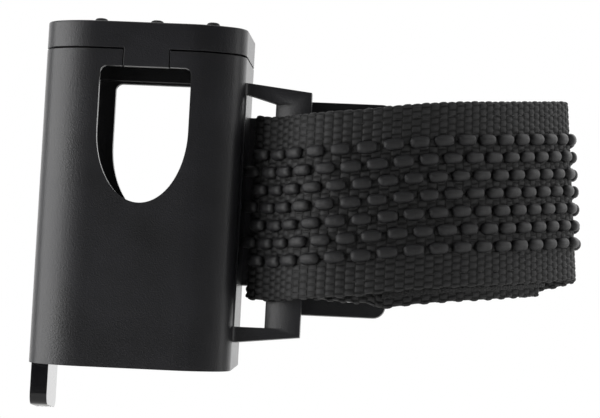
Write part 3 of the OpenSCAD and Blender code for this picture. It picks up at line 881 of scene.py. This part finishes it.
# Natural rubber yarn: satin, a shade paler than the cloth, with fine lengthwise ridges.
grip_rubber = textile("extruded_rubber_yarn", "#151516", "#262628", (9.0, 0.42), 0.45, 0.35, 0.0,
                      stagger=0.0, filament_mm=0.4)
string = string_tree()
bead = bead_shape()
print("bead triangles:", triangles(bead))

# %% Rows of beads on the strap and on its tail
def bead_rows(name, route, first, last, depth, side, rows, seed):
    """Rows of beads at a depth below a route; every other row starts half a pitch along."""
    lines = []
    for row in rows:
        line, stops = curve(route, first, last, 0.4)
        line = shifted(line, depth, ((ROWS + 1) / 2 - row) * ROW_PITCH)
        start = (row % 2) * BEAD_PITCH / 2
        lines.append(line[stops >= start])
    piece = paths(name, lines)
    run_tree(piece, string, {"Shape": bead, "Material": grip_rubber, "Pitch": BEAD_PITCH * MM,
                             "Side": side, "Unevenness": 0.05, "Seed": seed})
    return piece


for row in range(1, ROWS + 1):
    beads = bead_rows(f"grip_beads_{row}", STRAP_ROUTE, 4, 28, -0.4, 1.0, [row], row)
    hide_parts(f"grip_cord_{row}")
    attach(beads, "root")
tail_beads = bead_rows("tail_grip_beads", tail_route, 1, TAIL_LAST - 2, tail_near + WEB_T + 0.4,
                       -1.0, range(1, ROWS + 1), 20)
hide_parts("tail_grip_cords")
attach(tail_beads, "tail")
bpy.data.objects.remove(bead)
print("tail beads triangles:", triangles(tail_beads))

# %% [markdown]
# ## Stitches and hooks
# Lock stitches are short rounded bars sunk into the knit, which half hides them. They use the same
# tree as the beads. So does the hook tape's field of small hooks: one bent shape, strung along
# many rows on the face that grips the loop tape.


# %% Stitch rows
def stitch_shape(length, thickness):
    """A short thread bar along X whose ends dip."""
    steps, sides = 6, 6
    points, faces = [], []
    for i in range(steps + 1):
        t = i / steps * 2 - 1
        r = thickness / 2 * (1 - 0.6 * abs(t) ** 3)
        for k in range(sides):
            a = 2 * math.pi * k / sides
            points.append(np.array([t * length / 2, r * math.cos(a),
                                    r * math.sin(a) - 0.35 * thickness * t * t]) * MM)
    for i in range(steps):
        for k in range(sides):
            j = (k + 1) % sides
            faces.append((i * sides + k, i * sides + j, (i + 1) * sides + j, (i + 1) * sides + k))
    faces += [tuple(range(sides))[::-1], tuple(steps * sides + k for k in range(sides))]
    piece = make_piece("stitch", points, faces)
    shape = bmesh.new()
    shape.from_mesh(piece.data)
    bmesh.ops.recalc_face_normals(shape, faces=shape.faces)
    shape.to_mesh(piece.data)
    shape.free()
    piece.data.uv_layers.new(name="cloth")
    return piece


def stitched(name, node, body, shape, lines, pitch, side):
    piece = paths(name, lines)
    run_tree(piece, string, {"Shape": shape, "Material": thread, "Pitch": pitch * MM,
                             "Side": side, "Unevenness": 0.06, "Seed": 3})
    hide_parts(node)
    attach(piece, body)
    return piece


def edge_lines(route, first, last, depth):
    """Two lines along a ribbon's margins, at a depth below its route."""
    line = curve(route, first, last, 0.4)[0]
    return [shifted(line, depth, side * (TAPE_W / 2 - 1.5)) for side in (-1, 1)]


def hook_shape(height, thickness):
    """A small hook that stands on Z and bends over along X, with four sides."""
    bend = np.linspace(0, math.pi * 0.95, 5)
    radius = height * 0.35
    spine = [(0.0, 0.0)] + [(radius * (1 - math.cos(a)), height - radius + radius * math.sin(a))
                            for a in bend]
    normals = [(-1.0, 0.0)] + [(-math.cos(a), math.sin(a)) for a in bend]
    half = thickness / 2
    points = [(x + nx * side * half, y * half, z + nz * side * half)
              for (x, z), (nx, nz) in zip(spine, normals)
              for side, y in ((1, -1), (1, 1), (-1, 1), (-1, -1))]
    faces = [(i * 4 + k, i * 4 + (k + 1) % 4, i * 4 + 4 + (k + 1) % 4, i * 4 + 4 + k)
             for i in range(len(spine) - 1) for k in range(4)]
    faces += [(3, 2, 1, 0), tuple(len(points) - 4 + k for k in range(4))]
    piece = make_piece("hook", np.array(points) * MM, faces)
    shape = bmesh.new()
    shape.from_mesh(piece.data)
    bmesh.ops.recalc_face_normals(shape, faces=shape.faces)
    shape.to_mesh(piece.data)
    shape.free()
    piece.data.uv_layers.new(name="cloth")
    return piece


HOOK_PITCH, HOOK_H = 1.7, 0.55
small_hook = hook_shape(HOOK_H, 0.2)
hook_line = curve(tail_route, 6, TAIL_LAST, 0.4)[0]
hook_rows = [shifted(hook_line, 0.48, h)
             for h in np.arange(-TAPE_W / 2 + 1.2, TAPE_W / 2 - 1.0, HOOK_PITCH)]
hooks = paths("tail_hooks", hook_rows)
run_tree(hooks, string, {"Shape": small_hook, "Material": hook_nylon, "Pitch": HOOK_PITCH * MM,
                         "Side": 1.0, "Unevenness": 0.1, "Seed": 8})
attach(hooks, "tail")
bpy.data.objects.remove(small_hook)
print("hooks triangles:", triangles(hooks))

# %% Seams
stitch = stitch_shape(2.4, 0.45)
stitched("loop_tape_seams", "loop_tape_stitching", "root", stitch,
         edge_lines(STRAP_ROUTE, 11, 20, 0.25), 3.0, 1.0)
stitched("tail_seams", "tail_stitching", "tail", stitch,
         edge_lines(tail_route, 6, TAIL_LAST - 2, tail_near + WEB_T - 0.2), 3.0, -1.0)
last_point = len(STRAP_ROUTE) - 1
anchor_run = shifted(curve(STRAP_ROUTE, last_point - 2, last_point, 0.4)[0], -0.02)
bars = []
for share in (0.25, 0.75):
    middle = anchor_run[int(share * (len(anchor_run) - 1))]
    bars.append(np.array([middle + [0, 0, -23.0], middle + [0, 0, 23.0]]))


# %% Anchor bars, sewn straight across the folded end
def bar_of_stitches(name, lines, facing, end_gap=1.2, pitch=3.0):
    """Stitches up and down the strap; they follow Z, so each is placed and turned here."""
    pieces = []
    for line in lines:
        for height in np.arange(line[0][2] + end_gap, line[1][2] - end_gap, pitch):
            one = stitch.data.copy()
            place = in_frame([line[0][0], line[0][1], height])
            upright_x = Vector((0, 0, 1))
            out_z = Vector(facing)
            turn = Matrix((upright_x, out_z.cross(upright_x), out_z)).transposed().to_4x4()
            one.transform(Matrix.Translation(place) @ turn)
            pieces.append(one)
    shape = bmesh.new()
    for one in pieces:
        shape.from_mesh(one)
        bpy.data.meshes.remove(one)
    mesh = bpy.data.meshes.new(name)
    shape.to_mesh(mesh)
    shape.free()
    mesh.polygons.foreach_set("use_smooth", [True] * len(mesh.polygons))
    piece = bpy.data.objects.new(name, mesh)
    bpy.context.scene.collection.objects.link(piece)
    mesh.materials.append(thread)
    return piece


inward_end = directions(anchor_run)[1]
anchor = bar_of_stitches("anchor_bars", bars, (-inward_end[0][0], -inward_end[0][1], 0))
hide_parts("anchor_stitching")
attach(anchor, "root")
bpy.data.objects.remove(stitch)
